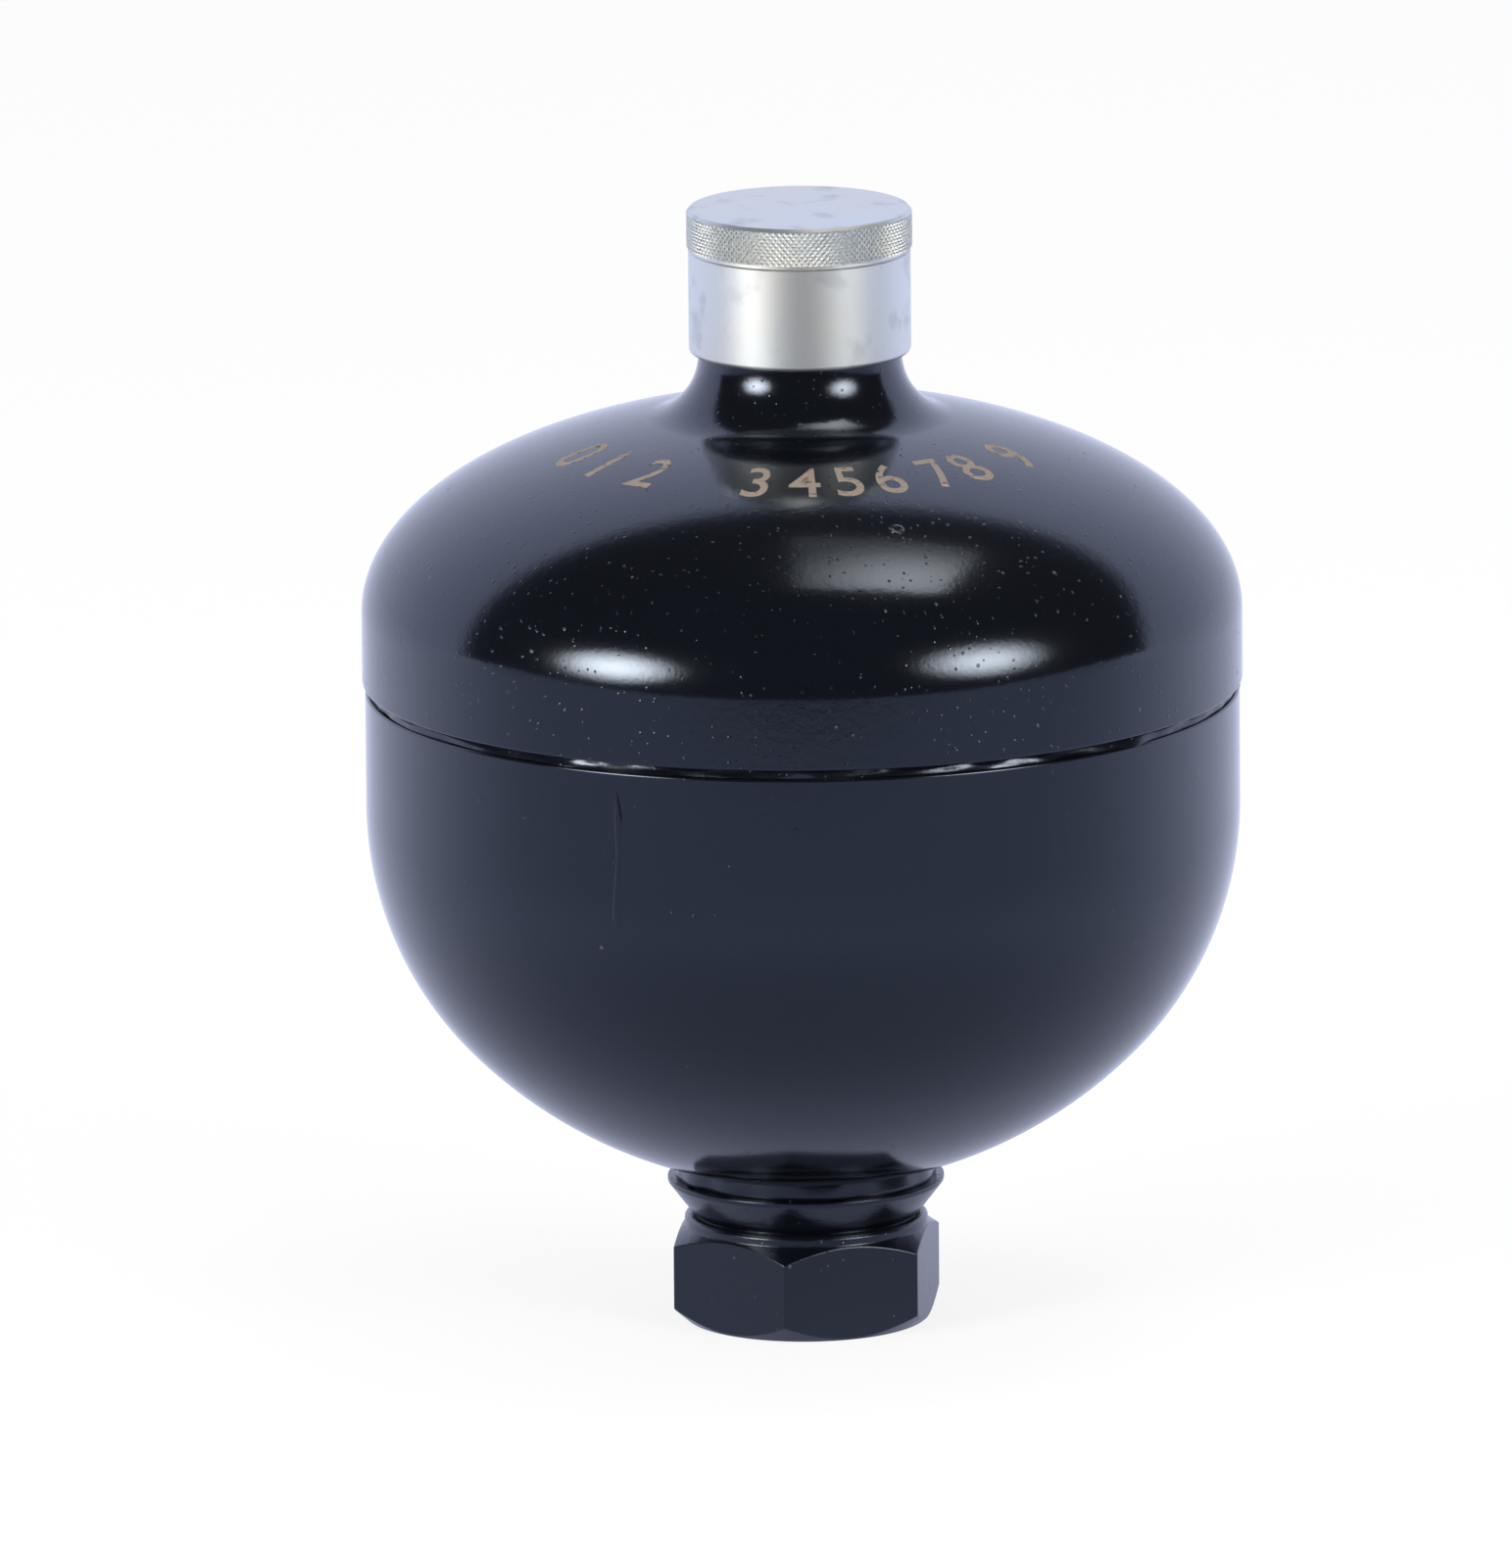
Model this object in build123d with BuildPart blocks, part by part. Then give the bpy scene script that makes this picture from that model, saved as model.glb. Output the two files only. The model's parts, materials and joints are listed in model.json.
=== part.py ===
from build123d import *
import os
from math import atan2, cos, degrees, hypot, radians, sqrt

# A welded diaphragm accumulator of about three quarters of a litre. Its axis is Z, it stands on
# the foot of its fluid port at Z = 0, and lengths are millimetres. Heights end in _z.

# Shells: two deep-drawn halves, welded edge to edge inside the upper one's overhang
body_diameter = 121.0
rim_overhang = 0.4
shell_wall = 5.0
weld_gap = 1.2
weld_recess = 0.5
rim_round = 0.4

upper_straight = 9.8
upper_dome_rise = 29.0

lower_straight = 16.1
knuckle_centre_radius = 12.5
crown_centre_rise = 12.1

# Neck of the upper half, with the thread for the protective cap
neck_diameter = 28.0
neck_fillet = 8.8
neck_chamfer = 1.0

# Protective cap and the sealing disc in its crown
cap_height = 20.0
cap_wall = 1.2
cap_crown = 2.6
cap_edge_break = 0.35
cap_foot_round = 0.7
cap_foot_clearance = 0.3
cap_thread_clearance = 0.06
knurl_relief = 0.3
knurl_width = 5.2
cap_groove_width = 0.6
cap_groove_depth = 0.25
gasket_thickness = 1.5
gasket_clearance = 0.4

# Charging screw with its bonded seal, sunk in the top of the neck
screw_diameter = 12.0
screw_length = 14.0
screw_head_diameter = 16.0
screw_head_height = 6.0
screw_head_chamfer = 0.6
screw_sink = 0.3
socket_across_flats = 6.0
socket_depth = 5.5
seal_lip_width = 1.0
seal_washer_width = 1.5
seal_thickness = 1.5
seal_bore_clearance = 0.15
counterbore_clearance = 0.25

# Fluid port: hexagon, turned waist and flange, and the spigot that passes through the bowl
hex_across_flats = 34.0
hex_turn = 21.0
hex_height = 13.9
hex_foot_diameter = 33.8
hex_foot_chamfer = 2.5
hex_shoulder_diameter = 33.4
hex_shoulder_chamfer = 2.6
groove_depth = 0.5
groove_width = 1.1
waist_diameter = 34.0
waist_height = 0.9
flange_diameter = 38.1
flange_cone_height = 3.6
flange_edge = 0.55
spigot_diameter = 24.0
port_core_diameter = 18.6
port_depth = 15.0
port_chamfer = 1.0
fluid_bore_diameter = 9.0
port_weld_width = 3.4
port_weld_height = 0.75

# Diaphragm, its closing button and the rings that clamp it behind the seam
ring_seat_step = 0.4
ring_seat_depth = 8.0
ring_thickness = 1.5
ring_end_clearance = 0.2
ring_flange_thickness = 2.0
clamp_thickness = 1.8
clamp_height = 7.8
diaphragm_thickness = 2.4
diaphragm_clearance = 0.35
bead_width = 5.0
bead_height = 9.5
button_thickness = 3.0
button_margin = 0.8
button_chamfer = 0.5

# Port, stacked upwards from the foot of its hexagon
corner_radius = hex_across_flats / 2 / cos(radians(30))
spigot_radius = spigot_diameter / 2
groove_radius = hex_shoulder_diameter / 2 - groove_depth
groove_top_z = hex_height + groove_width
waist_top_z = groove_top_z + waist_height
flange_edge_z = waist_top_z + flange_cone_height
flange_top_z = flange_edge_z + flange_edge

# Radii of the shells. The bowl's crown arc and knuckle arc share a tangent.
upper_radius = body_diameter / 2
lower_radius = upper_radius - rim_overhang
upper_bore = upper_radius - shell_wall
knuckle_radius = lower_radius - knuckle_centre_radius
crown_radius = knuckle_radius + hypot(knuckle_centre_radius, crown_centre_rise)
knuckle_angle = degrees(atan2(crown_centre_rise, knuckle_centre_radius))

# Heights of the shells: the bowl clears the flange by the weld's height where the spigot enters
crown_centre_z = flange_top_z + port_weld_height + sqrt(crown_radius**2 - spigot_radius**2)
lower_tangent_z = crown_centre_z - crown_centre_rise
lower_rim_z = lower_tangent_z + lower_straight
upper_rim_z = lower_rim_z + weld_gap
upper_tangent_z = upper_rim_z + upper_straight


def bowl_z(radius, inset):
    """Height of the bowl's crown at a radius, inset from its outer face."""
    return crown_centre_z - sqrt((crown_radius - inset) ** 2 - radius**2)


def bowl_lines(inset, top_z):
    """Half of a bowl's outline, up to top_z, inset from the outer face of the lower half."""
    crown = CenterArc(
        (0, crown_centre_z), crown_radius - inset, start_angle=-90, arc_size=90 - knuckle_angle
    )
    CenterArc(
        (knuckle_centre_radius, lower_tangent_z),
        knuckle_radius - inset,
        start_angle=-knuckle_angle,
        arc_size=knuckle_angle,
    )
    Polyline(
        (lower_radius - inset, lower_tangent_z),
        (lower_radius - inset, top_z),
        (0, top_z),
        crown @ 0,
    )


def dome_lines(radius, rise, foot_z):
    """Half of a dome's outline: a straight skirt from foot_z and a quarter ellipse."""
    ellipse = EllipticalCenterArc((0, upper_tangent_z), radius, rise, 0, arc_size=90)
    Polyline(ellipse @ 1, (0, foot_z), (radius, foot_z), ellipse @ 0)


def ring_section(inner_radius, outer_radius, bottom_z, top_z, mode=Mode.ADD):
    """Section of a plain ring, drawn in the XZ plane."""
    size = (outer_radius - inner_radius, top_z - bottom_z)
    with Locations((inner_radius, bottom_z)):
        Rectangle(*size, align=(Align.MIN, Align.MIN), mode=mode)


# Neck, cap and screw, stacked upwards from where the neck's fillet ends
neck_radius = neck_diameter / 2
fillet_foot_r = neck_radius + neck_fillet
fillet_foot_share = sqrt(1 - (fillet_foot_r / upper_radius) ** 2)
dome_slope = upper_dome_rise * fillet_foot_r / (upper_radius**2 * fillet_foot_share)
fillet_top_z = (
    upper_tangent_z + upper_dome_rise * fillet_foot_share + neck_fillet * hypot(1, dome_slope)
)
cap_foot_z = fillet_top_z + cap_foot_clearance
cap_top_z = cap_foot_z + cap_height
cap_ceiling_z = cap_top_z - cap_crown
neck_top_z = cap_ceiling_z - gasket_thickness
cap_bore = neck_radius + cap_thread_clearance
cap_skirt_radius = cap_bore + cap_wall
knurl_radius = cap_skirt_radius + knurl_relief
knurl_foot_z = cap_top_z - knurl_width

screw_radius = screw_diameter / 2
head_top_z = neck_top_z - screw_sink
head_bottom_z = head_top_z - screw_head_height
counterbore_z = head_bottom_z - seal_thickness
seal_bore = screw_radius + seal_bore_clearance
seal_joint_radius = seal_bore + seal_lip_width
seal_radius = seal_joint_radius + seal_washer_width
counterbore_radius = max(seal_radius, screw_head_diameter / 2) + counterbore_clearance

# Diaphragm, seated on the spigot through its button and clamped behind the seam
port_weld_radius = spigot_radius + port_weld_width
spigot_top_z = bowl_z(spigot_radius, shell_wall)
button_radius = spigot_radius - button_margin
button_top_z = spigot_top_z + button_thickness

ring_seat_radius = upper_bore + ring_seat_step
ring_bore = ring_seat_radius - ring_thickness
ring_bottom_z = lower_rim_z - ring_seat_depth
ring_top_z = upper_rim_z + ring_seat_depth - ring_end_clearance
diaphragm_inset = shell_wall + diaphragm_clearance
diaphragm_inner_inset = diaphragm_inset + diaphragm_thickness
diaphragm_rim_z = ring_bottom_z - diaphragm_clearance
bead_bottom_z = diaphragm_rim_z - diaphragm_thickness
bead_top_z = bead_bottom_z + bead_height
clamp_radius = ring_bore - bead_width
clamp_bore = clamp_radius - clamp_thickness
pad_radius = sqrt((crown_radius - diaphragm_inset) ** 2 - (crown_centre_z - button_top_z) ** 2)

# Upper half: skirt and elliptical dome with the neck drawn up in its middle
with BuildPart() as upper_shell:
    with BuildSketch(Plane.XZ):
        with BuildLine():
            dome_lines(upper_radius, upper_dome_rise, upper_rim_z)
        make_face()
    revolve(axis=Axis.Z)
    with BuildSketch(Plane.XY.offset(upper_tangent_z)):
        Circle(neck_radius)
    extrude(amount=neck_top_z - upper_tangent_z)
    neck_root = upper_shell.edges().filter_by(GeomType.LINE, reverse=True).sort_by(Axis.Z)[-2]
    fillet(neck_root, neck_fillet)
    chamfer(upper_shell.edges().group_by(Axis.Z)[-1], neck_chamfer)
    fillet(upper_shell.edges().group_by(Axis.Z)[0], rim_round)
    with BuildSketch(Plane.XZ):
        with BuildLine():
            dome_lines(upper_bore, upper_dome_rise - shell_wall, upper_rim_z)
        make_face()
        ring_section(0, ring_seat_radius, upper_rim_z, upper_rim_z + ring_seat_depth)
    revolve(axis=Axis.Z, mode=Mode.SUBTRACT)
    with Locations((0, 0, neck_top_z)):
        CounterBoreHole(
            radius=screw_radius,
            counter_bore_radius=counterbore_radius,
            counter_bore_depth=neck_top_z - counterbore_z,
            depth=neck_top_z - upper_tangent_z,
        )
upper_shell.part.label = "upper_shell"

# Lower half: straight skirt, knuckle and crown, with the hole for the port's spigot
with BuildPart() as lower_shell:
    with BuildSketch(Plane.XZ):
        with BuildLine():
            bowl_lines(0, lower_rim_z)
        make_face()
    revolve(axis=Axis.Z)
    fillet(lower_shell.edges().group_by(Axis.Z)[-1], rim_round)
    with BuildSketch(Plane.XZ):
        with BuildLine():
            bowl_lines(shell_wall, lower_rim_z)
        make_face()
        ring_section(0, ring_seat_radius, ring_bottom_z, lower_rim_z)
        ring_section(0, spigot_radius, 0, lower_rim_z)
    revolve(axis=Axis.Z, mode=Mode.SUBTRACT)
lower_shell.part.label = "lower_shell"

# Seam weld: the bead that joins the two rims, sunk a little below the lower half's face
with BuildPart() as seam_weld:
    with BuildSketch(Plane.XZ):
        ring_section(ring_seat_radius, lower_radius - weld_recess, lower_rim_z, upper_rim_z)
    revolve(axis=Axis.Z)
seam_weld.part.label = "seam_weld"

# Backing ring: bridges the seam inside, rests on the lower half's shoulder and carries the
# flange that the diaphragm's bead bears against
with BuildPart() as backing_ring:
    with BuildSketch(Plane.XZ):
        ring_section(ring_bore, ring_seat_radius, ring_bottom_z, ring_top_z)
        ring_section(clamp_bore, ring_seat_radius, bead_top_z, bead_top_z + ring_flange_thickness)
    revolve(axis=Axis.Z)
backing_ring.part.label = "backing_ring"

# Clamp ring: holds the bead outwards against the backing ring
with BuildPart() as clamp_ring:
    with BuildSketch(Plane.XZ):
        ring_section(clamp_bore, clamp_radius, bead_top_z - clamp_height, bead_top_z)
    revolve(axis=Axis.Z)
    fillet(clamp_ring.edges().group_by(Axis.Z)[0], clamp_thickness / 3)
clamp_ring.part.label = "clamp_ring"

# Diaphragm: follows the bowl, with a flat floor over the button and a thick bead at its edge
with BuildPart() as diaphragm:
    with BuildSketch(Plane.XZ):
        with BuildLine():
            bowl_lines(diaphragm_inset, diaphragm_rim_z)
        make_face()
        with BuildLine():
            bowl_lines(diaphragm_inner_inset, diaphragm_rim_z)
        make_face(mode=Mode.SUBTRACT)
        ring_section(0, pad_radius, 0, button_top_z, mode=Mode.SUBTRACT)
        ring_section(0, pad_radius, button_top_z, button_top_z + diaphragm_thickness)
        ring_section(clamp_radius, ring_bore, bead_bottom_z, bead_top_z)
    revolve(axis=Axis.Z)
diaphragm.part.label = "diaphragm"

# Closing button: a plate under the diaphragm's floor that shuts the port when the oil is out
with BuildPart() as closing_button:
    with BuildSketch(Plane.XY.offset(spigot_top_z)):
        Circle(button_radius)
    extrude(amount=button_thickness)
    chamfer(closing_button.edges().group_by(Axis.Z)[0], button_chamfer)
closing_button.part.label = "closing_button"

# Port adapter: one turned piece with the hexagon milled on its foot
with BuildPart() as port_adapter:
    with BuildSketch():
        RegularPolygon(hex_across_flats / 2, 6, major_radius=False, rotation=hex_turn)
    extrude(amount=hex_height)
    with BuildSketch(Plane.XZ):
        with BuildLine():
            Polyline(
                (0, 0),
                (hex_foot_diameter / 2, 0),
                (corner_radius, hex_foot_chamfer),
                (corner_radius, hex_height - hex_shoulder_chamfer),
                (hex_shoulder_diameter / 2, hex_height),
                (0, hex_height),
                close=True,
            )
        make_face()
    revolve(axis=Axis.Z, mode=Mode.INTERSECT)
    with BuildSketch(Plane.XZ):
        with BuildLine():
            Polyline(
                (0, hex_height),
                (groove_radius, hex_height),
                (groove_radius, groove_top_z),
                (waist_diameter / 2, groove_top_z),
                (waist_diameter / 2, waist_top_z),
                (flange_diameter / 2, flange_edge_z),
                (flange_diameter / 2, flange_top_z),
                (spigot_radius, flange_top_z),
                (spigot_radius, spigot_top_z),
                (0, spigot_top_z),
                close=True,
            )
        make_face()
    revolve(axis=Axis.Z)
    with BuildSketch():
        Circle(port_core_diameter / 2)
    extrude(amount=port_depth, mode=Mode.SUBTRACT)
    with BuildSketch():
        Circle(fluid_bore_diameter / 2)
    extrude(amount=spigot_top_z, mode=Mode.SUBTRACT)
    port_mouth = port_adapter.edges().filter_by(GeomType.CIRCLE).group_by(Axis.Z)[0]
    chamfer(port_mouth.sort_by(SortBy.RADIUS)[0], port_chamfer)
port_adapter.part.label = "port_adapter"

# Port weld: fills the wedge between the flange and the bowl near the spigot
with BuildPart() as port_weld:
    with BuildSketch(Plane.XZ):
        ring_section(spigot_radius, port_weld_radius, flange_top_z, lower_tangent_z)
        with BuildLine():
            bowl_lines(0, lower_rim_z)
        make_face(mode=Mode.SUBTRACT)
    revolve(axis=Axis.Z)
port_weld.part.label = "port_weld"

# Charging screw: cylindrical head with a hexagon socket, sunk in the neck
with BuildPart() as charging_screw:
    with BuildSketch(Plane.XY.offset(head_bottom_z)):
        Circle(screw_head_diameter / 2)
    extrude(amount=screw_head_height)
    chamfer(charging_screw.edges().group_by(Axis.Z)[-1], screw_head_chamfer)
    with BuildSketch(Plane.XY.offset(head_bottom_z)):
        Circle(screw_radius)
    extrude(amount=-screw_length)
    chamfer(charging_screw.edges().group_by(Axis.Z)[0], screw_head_chamfer)
    with BuildSketch(Plane.XY.offset(head_top_z)):
        RegularPolygon(socket_across_flats / 2, 6, major_radius=False)
    extrude(amount=-socket_depth, mode=Mode.SUBTRACT)
charging_screw.part.label = "charging_screw"

# Bonded seal under the screw's head: a rubber lip inside a steel washer
with BuildPart() as seal_lip:
    with BuildSketch(Plane.XZ):
        ring_section(seal_bore, seal_joint_radius, counterbore_z, head_bottom_z)
    revolve(axis=Axis.Z)
seal_lip.part.label = "seal_lip"

with BuildPart() as seal_washer:
    with BuildSketch(Plane.XZ):
        ring_section(seal_joint_radius, seal_radius, counterbore_z, head_bottom_z)
    revolve(axis=Axis.Z)
seal_washer.part.label = "seal_washer"

# Protective cap: knurled band under the crown, a groove, and a plain skirt that screws down
with BuildPart() as protective_cap:
    with BuildSketch(Plane.XY.offset(cap_foot_z)):
        Circle(cap_skirt_radius)
    extrude(amount=cap_height)
    fillet(protective_cap.edges().group_by(Axis.Z)[0], cap_foot_round)
    with BuildSketch(Plane.XY.offset(knurl_foot_z)):
        Circle(knurl_radius)
    extrude(amount=knurl_width)
    chamfer(protective_cap.edges().group_by(Axis.Z)[-1], cap_edge_break)
    with BuildSketch(Plane.XZ):
        ring_section(
            cap_skirt_radius - cap_groove_depth,
            knurl_radius,
            knurl_foot_z - cap_groove_width,
            knurl_foot_z,
        )
    revolve(axis=Axis.Z, mode=Mode.SUBTRACT)
    with BuildSketch(Plane.XY.offset(cap_foot_z)):
        Circle(cap_bore)
    extrude(amount=cap_ceiling_z - cap_foot_z, mode=Mode.SUBTRACT)
protective_cap.part.label = "protective_cap"

# Sealing disc between the cap's crown and the top of the neck
with BuildPart() as cap_gasket:
    with BuildSketch(Plane.XY.offset(neck_top_z)):
        Circle(cap_bore - gasket_clearance)
    extrude(amount=gasket_thickness)
cap_gasket.part.label = "cap_gasket"

os.makedirs("parts", exist_ok=True)
export_step(upper_shell.part, "parts/upper_shell.step")
export_step(lower_shell.part, "parts/lower_shell.step")
export_step(seam_weld.part, "parts/seam_weld.step")
export_step(backing_ring.part, "parts/backing_ring.step")
export_step(clamp_ring.part, "parts/clamp_ring.step")
export_step(diaphragm.part, "parts/diaphragm.step")
export_step(closing_button.part, "parts/closing_button.step")
export_step(port_adapter.part, "parts/port_adapter.step")
export_step(port_weld.part, "parts/port_weld.step")
export_step(charging_screw.part, "parts/charging_screw.step")
export_step(seal_lip.part, "parts/seal_lip.step")
export_step(seal_washer.part, "parts/seal_washer.step")
export_step(protective_cap.part, "parts/protective_cap.step")
export_step(cap_gasket.part, "parts/cap_gasket.step")
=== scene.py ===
import json
from math import acos, atan2, cos, degrees, hypot, pi, radians, sin, sqrt

import bpy
from mathutils import Euler, Matrix, Vector, noise


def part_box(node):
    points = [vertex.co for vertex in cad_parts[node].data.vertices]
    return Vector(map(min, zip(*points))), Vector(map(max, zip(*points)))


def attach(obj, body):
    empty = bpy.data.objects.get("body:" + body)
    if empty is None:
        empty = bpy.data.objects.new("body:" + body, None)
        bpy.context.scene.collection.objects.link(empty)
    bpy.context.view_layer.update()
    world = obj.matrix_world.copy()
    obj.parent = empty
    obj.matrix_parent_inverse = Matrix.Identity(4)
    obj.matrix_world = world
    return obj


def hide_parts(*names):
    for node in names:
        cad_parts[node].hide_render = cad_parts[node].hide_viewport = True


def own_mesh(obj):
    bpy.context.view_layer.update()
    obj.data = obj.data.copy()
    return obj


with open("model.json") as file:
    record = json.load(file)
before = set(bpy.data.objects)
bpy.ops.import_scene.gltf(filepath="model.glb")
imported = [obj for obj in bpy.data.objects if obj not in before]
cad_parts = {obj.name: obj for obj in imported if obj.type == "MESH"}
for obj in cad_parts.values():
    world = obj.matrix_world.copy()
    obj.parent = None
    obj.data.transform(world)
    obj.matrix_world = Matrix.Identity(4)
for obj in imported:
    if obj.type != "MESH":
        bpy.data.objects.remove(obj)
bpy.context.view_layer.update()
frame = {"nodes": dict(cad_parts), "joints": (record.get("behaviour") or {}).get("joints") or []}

# Camera: a long lens in front of the vessel and a little above it. It looks just left of the
# axis, where the middle of the picture lies.
MM = 0.001
seam_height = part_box("upper_shell")[0].z
camera_distance = 5.0
camera_elevation = radians(12.2)
camera_dip = radians(0.167)
camera_turn = radians(0.076)
camera_roll = radians(-0.43)
bpy.ops.object.camera_add(
    location=(
        0,
        -camera_distance * cos(camera_elevation),
        seam_height + camera_distance * sin(camera_elevation),
    )
)
camera = bpy.context.object
aim = Euler((pi / 2 - camera_elevation - camera_dip, 0, camera_turn)).to_matrix()
camera.rotation_euler = (aim @ Matrix.Rotation(camera_roll, 3, "Z")).to_euler()
camera.data.lens = 835.3
bpy.context.scene.camera = camera


# Lower half of the shell: a deep bowl, drawn from steel plate. It carries the port in its
# middle, and is painted gloss black with the whole vessel once the seam is welded.
def arc(centre_radius, centre_height, radius, first, last, steps, rise=None):
    """Points of a section on a round stretch, from one angle to another in degrees. A rise makes it
    an ellipse."""
    angles = [radians(first + (last - first) * n / steps) for n in range(steps + 1)]
    rise = radius if rise is None else rise
    return [(centre_radius + radius * cos(a), centre_height + rise * sin(a)) for a in angles]


def turned(name, section, around):
    """A piece turned on the axis. Its section is a run of (radius, height) in millimetres that
    comes back to its start, or that starts and ends on the axis."""
    bpy.ops.object.select_all(action="DESELECT")
    bpy.ops.mesh.primitive_plane_add(size=MM, location=(section[0][0] * MM, 0, section[0][1] * MM))
    piece = bpy.context.object
    piece.name = piece.data.name = name
    bpy.ops.object.transform_apply(location=True, rotation=True, scale=True)
    bpy.ops.object.mode_set(mode="EDIT")
    bpy.ops.mesh.select_all(action="SELECT")
    bpy.ops.mesh.merge(type="CENTER")
    for (radius, height), (next_radius, next_height) in zip(section, section[1:]):
        step = ((next_radius - radius) * MM, 0, (next_height - height) * MM)
        bpy.ops.mesh.extrude_region_move(TRANSFORM_OT_translate={"value": step})
    bpy.ops.mesh.select_all(action="SELECT")
    bpy.ops.mesh.remove_doubles(threshold=0.0005 * MM)
    bpy.ops.mesh.spin(steps=around, angle=2 * pi, center=(0, 0, 0), axis=(0, 0, 1))
    bpy.ops.mesh.select_all(action="SELECT")
    bpy.ops.mesh.remove_doubles(threshold=0.0005 * MM)
    bpy.ops.mesh.normals_make_consistent(inside=False)
    bpy.ops.object.mode_set(mode="OBJECT")
    return piece


def smooth(piece, angle=30):
    """Shades a piece smooth across every edge flatter than an angle in degrees, and keeps its long
    straight stretches straight."""
    bpy.ops.object.select_all(action="DESELECT")
    piece.select_set(True)
    bpy.context.view_layer.objects.active = piece
    bpy.ops.object.shade_smooth_by_angle(angle=radians(angle))
    weights = piece.modifiers.new("straights", "WEIGHTED_NORMAL")
    weights.keep_sharp = True
    bpy.ops.object.modifier_apply(modifier="straights")


def fit(piece, finish, body, slot, *nodes):
    """Gives a piece its finish, sets it on its body and hides the CAD nodes that it stands for."""
    piece.data.materials.clear()
    piece.data.materials.append(finish)
    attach(piece, body)
    if nodes:
        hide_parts(*nodes)


class Value:
    """One output of a node, which can stand in a sum."""

    def __init__(self, nodes, socket):
        self.nodes, self.socket = nodes, socket

    def __add__(self, other):
        return self.nodes.maths("ADD", self, other)

    def __radd__(self, other):
        return self.nodes.maths("ADD", other, self)

    def __sub__(self, other):
        return self.nodes.maths("SUBTRACT", self, other)

    def __rsub__(self, other):
        return self.nodes.maths("SUBTRACT", other, self)

    def __mul__(self, other):
        return self.nodes.maths("MULTIPLY", self, other)

    def __rmul__(self, other):
        return self.nodes.maths("MULTIPLY", other, self)

    def __truediv__(self, other):
        return self.nodes.maths("DIVIDE", self, other)


class Nodes:
    """The nodes of a material, or of the world."""

    def __init__(self, tree):
        self.tree = tree

    def feed(self, socket, value):
        if isinstance(value, Value):
            self.tree.links.new(value.socket, socket)
        else:
            socket.default_value = value

    def node(self, kind, settings, inputs, output=0):
        made = self.tree.nodes.new(kind)
        for name, value in settings.items():
            setattr(made, name, value)
        for name, value in inputs.items():
            self.feed(made.inputs[name], value)
        return Value(self, made.outputs[output])

    def maths(self, operation, *terms):
        return self.node("ShaderNodeMath", {"operation": operation}, dict(enumerate(terms)))

    def step(self, value, low, high):
        """0 up to low, 1 from high on, and smooth between them."""
        ends = {"Value": value, "From Min": low, "From Max": high}
        return self.node("ShaderNodeMapRange", {"interpolation_type": "SMOOTHSTEP"}, ends)

    def mix(self, share, first, second):
        """A colour that goes from first to second."""
        return self.node("ShaderNodeMix", {"data_type": "RGBA"}, {0: share, 6: first, 7: second}, 2)


class Finish(Nodes):
    """A material: the fixed sockets of its shader, and the nodes that vary the others."""

    def __init__(self, name, fixed):
        self.material = bpy.data.materials.new(name)
        self.material.use_nodes = True
        super().__init__(self.material.node_tree)
        self.shader = self.tree.nodes["Principled BSDF"]
        for socket, value in fixed.items():
            self.shader.inputs[socket].default_value = value
        self.place = self.node("ShaderNodeTexCoord", {}, {}, "Object")

    def noise(self, size, detail):
        """Noise whose lumps are about size millimetres across."""
        inputs = {"Vector": self.place, "Scale": 1 / (size * MM), "Detail": detail}
        return self.node("ShaderNodeTexNoise", {}, inputs)

    def specks(self, spacing, size, share):
        """Round specks: one in some of the cells that are spacing millimetres across, up to size
        cells in radius."""
        cells = {"Vector": self.place, "Scale": 1 / (spacing * MM)}
        away = self.node("ShaderNodeTexVoronoi", {}, cells)
        colour = self.node("ShaderNodeTexVoronoi", {}, cells, 1)
        lot = self.node("ShaderNodeSeparateColor", {}, {"Color": colour})
        radius = size * self.step(lot, 1 - share, 1.0) + 0.0001
        return 1 - self.step(away / radius, 0.4, 1.0)

    def vary(self, socket, value):
        self.feed(self.shader.inputs[socket], value)

    def bump(self, height):
        """Bumps from a height in millimetres."""
        inputs = {"Height": height, "Distance": MM, "Strength": 1.0}
        self.vary("Normal", self.node("ShaderNodeBump", {}, inputs))


def black_paint(name, roughness, peel, dust, nick=(0, 0, 0)):
    """Sprayed gloss black with orange peel and dust that was caught in it. A nick puts one small
    crater at its place; the default lies inside the vessel, where nothing shows it."""
    finish = Finish(name, {"Specular Tint": (0.72, 0.82, 1.0, 1), "IOR": 1.65})
    cloud = finish.noise(35, 3)
    peel_height = finish.noise(1.2, 1)
    grain = finish.noise(0.45, 1)
    coarse = finish.specks(2.3, 0.15, dust)
    fine = finish.specks(1.0, 0.28, 3 * dust)
    ends = {0: finish.place, 1: nick}
    off = finish.node("ShaderNodeVectorMath", {"operation": "DISTANCE"}, ends, 1)
    crater = finish.step(off, 0.35 * MM, 0.8 * MM) - 1.6 * finish.step(off, 0.8 * MM, 1.1 * MM)
    black = (0.0022, 0.0028, 0.0052, 1)
    faded = (0.0034, 0.0042, 0.0075, 1)
    dusty = (0.05, 0.055, 0.065, 1)
    finish.vary("Base Color", finish.mix(coarse, finish.mix(cloud, black, faded), dusty))
    finish.vary("Roughness", roughness + 0.05 * cloud + 0.3 * coarse)
    dirt = 0.05 * coarse + 0.04 * fine
    finish.bump(peel * peel_height + 0.5 * peel * grain + dirt + 0.25 * crater)
    return finish.material


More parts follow.
